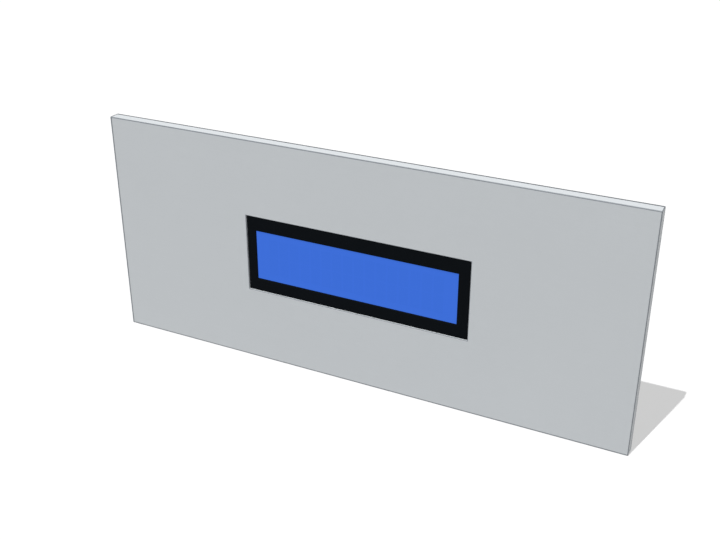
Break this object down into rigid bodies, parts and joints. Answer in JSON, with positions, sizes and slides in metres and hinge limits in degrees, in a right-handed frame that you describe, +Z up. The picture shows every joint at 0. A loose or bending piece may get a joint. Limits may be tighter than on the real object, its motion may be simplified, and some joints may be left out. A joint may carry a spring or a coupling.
{
  "type": "panel-mounted character lcd module",
  "caption": "Flat front panel with a rectangular window and a character display module bolted behind it.",
  "frame": {"origin": "middle of the panel's bottom edge face, half way through its thickness", "axes": "+X to the viewer's right along the panel, +Y from the panel's face back into the case, +Z up"},
  "size_m": [0.1666, 0.0174, 0.0717],
  "materials": {
    "panel": "fine satin, light grey",
    "bezel": "semi-matt black",
    "display_face": "satin blue",
    "glass": "clear",
    "resin_plug": "clear amber",
    "film": "translucent white",
    "light_guide": "clear",
    "tray": "white",
    "contact_strip": "pink silicone",
    "board": "green solder mask",
    "led_board": "white solder mask",
    "led": "yellow phosphor",
    "lead": "tinned",
    "pin": "gold plated",
    "insulator": "black",
    "resin": "glossy black",
    "resistor": "black body, tinned ends",
    "capacitor": "tan body, tinned ends",
    "stud": "bright",
    "sleeve": "natural nylon",
    "fastener": "zinc plated"
  },
  "bodies": {
    "root": {"front_panel": "panel", "metal_bezel": "bezel", "front_polariser": "display_face", "front_glass": "glass", "rear_glass": "glass", "rear_polariser": "film", "fill_port_plug": "resin_plug", "contact_strip_top": "contact_strip", "contact_strip_bottom": "contact_strip", "diffuser_sheet": "film", "light_guide": "light_guide", "reflector_sheet": "film", "backlight_tray": "tray", "led_board": "led_board", "led_chip_1": "led", "led_chip_2": "led", "led_chip_3": "led", "backlight_leads": "lead", "circuit_board": "board", "header_insulator": "insulator", "header_pins": "pin", "controller_cover": "resin", "driver_cover": "resin", "ladder_resistor_1": "resistor", "ladder_resistor_2": "resistor", "ladder_resistor_3": "resistor", "ladder_resistor_4": "resistor", "ladder_resistor_5": "resistor", "clock_resistor": "resistor", "backlight_resistor": "resistor", "supply_capacitor": "capacitor", "panel_stud_1": "stud", "spacer_sleeve_1": "sleeve", "washer_1": "fastener", "hex_nut_1": "fastener", "panel_stud_2": "stud", "spacer_sleeve_2": "sleeve", "washer_2": "fastener", "hex_nut_2": "fastener", "panel_stud_3": "stud", "spacer_sleeve_3": "sleeve", "washer_3": "fastener", "hex_nut_3": "fastener", "panel_stud_4": "stud", "spacer_sleeve_4": "sleeve", "washer_4": "fastener", "hex_nut_4": "fastener"}
  },
  "joints": []
}
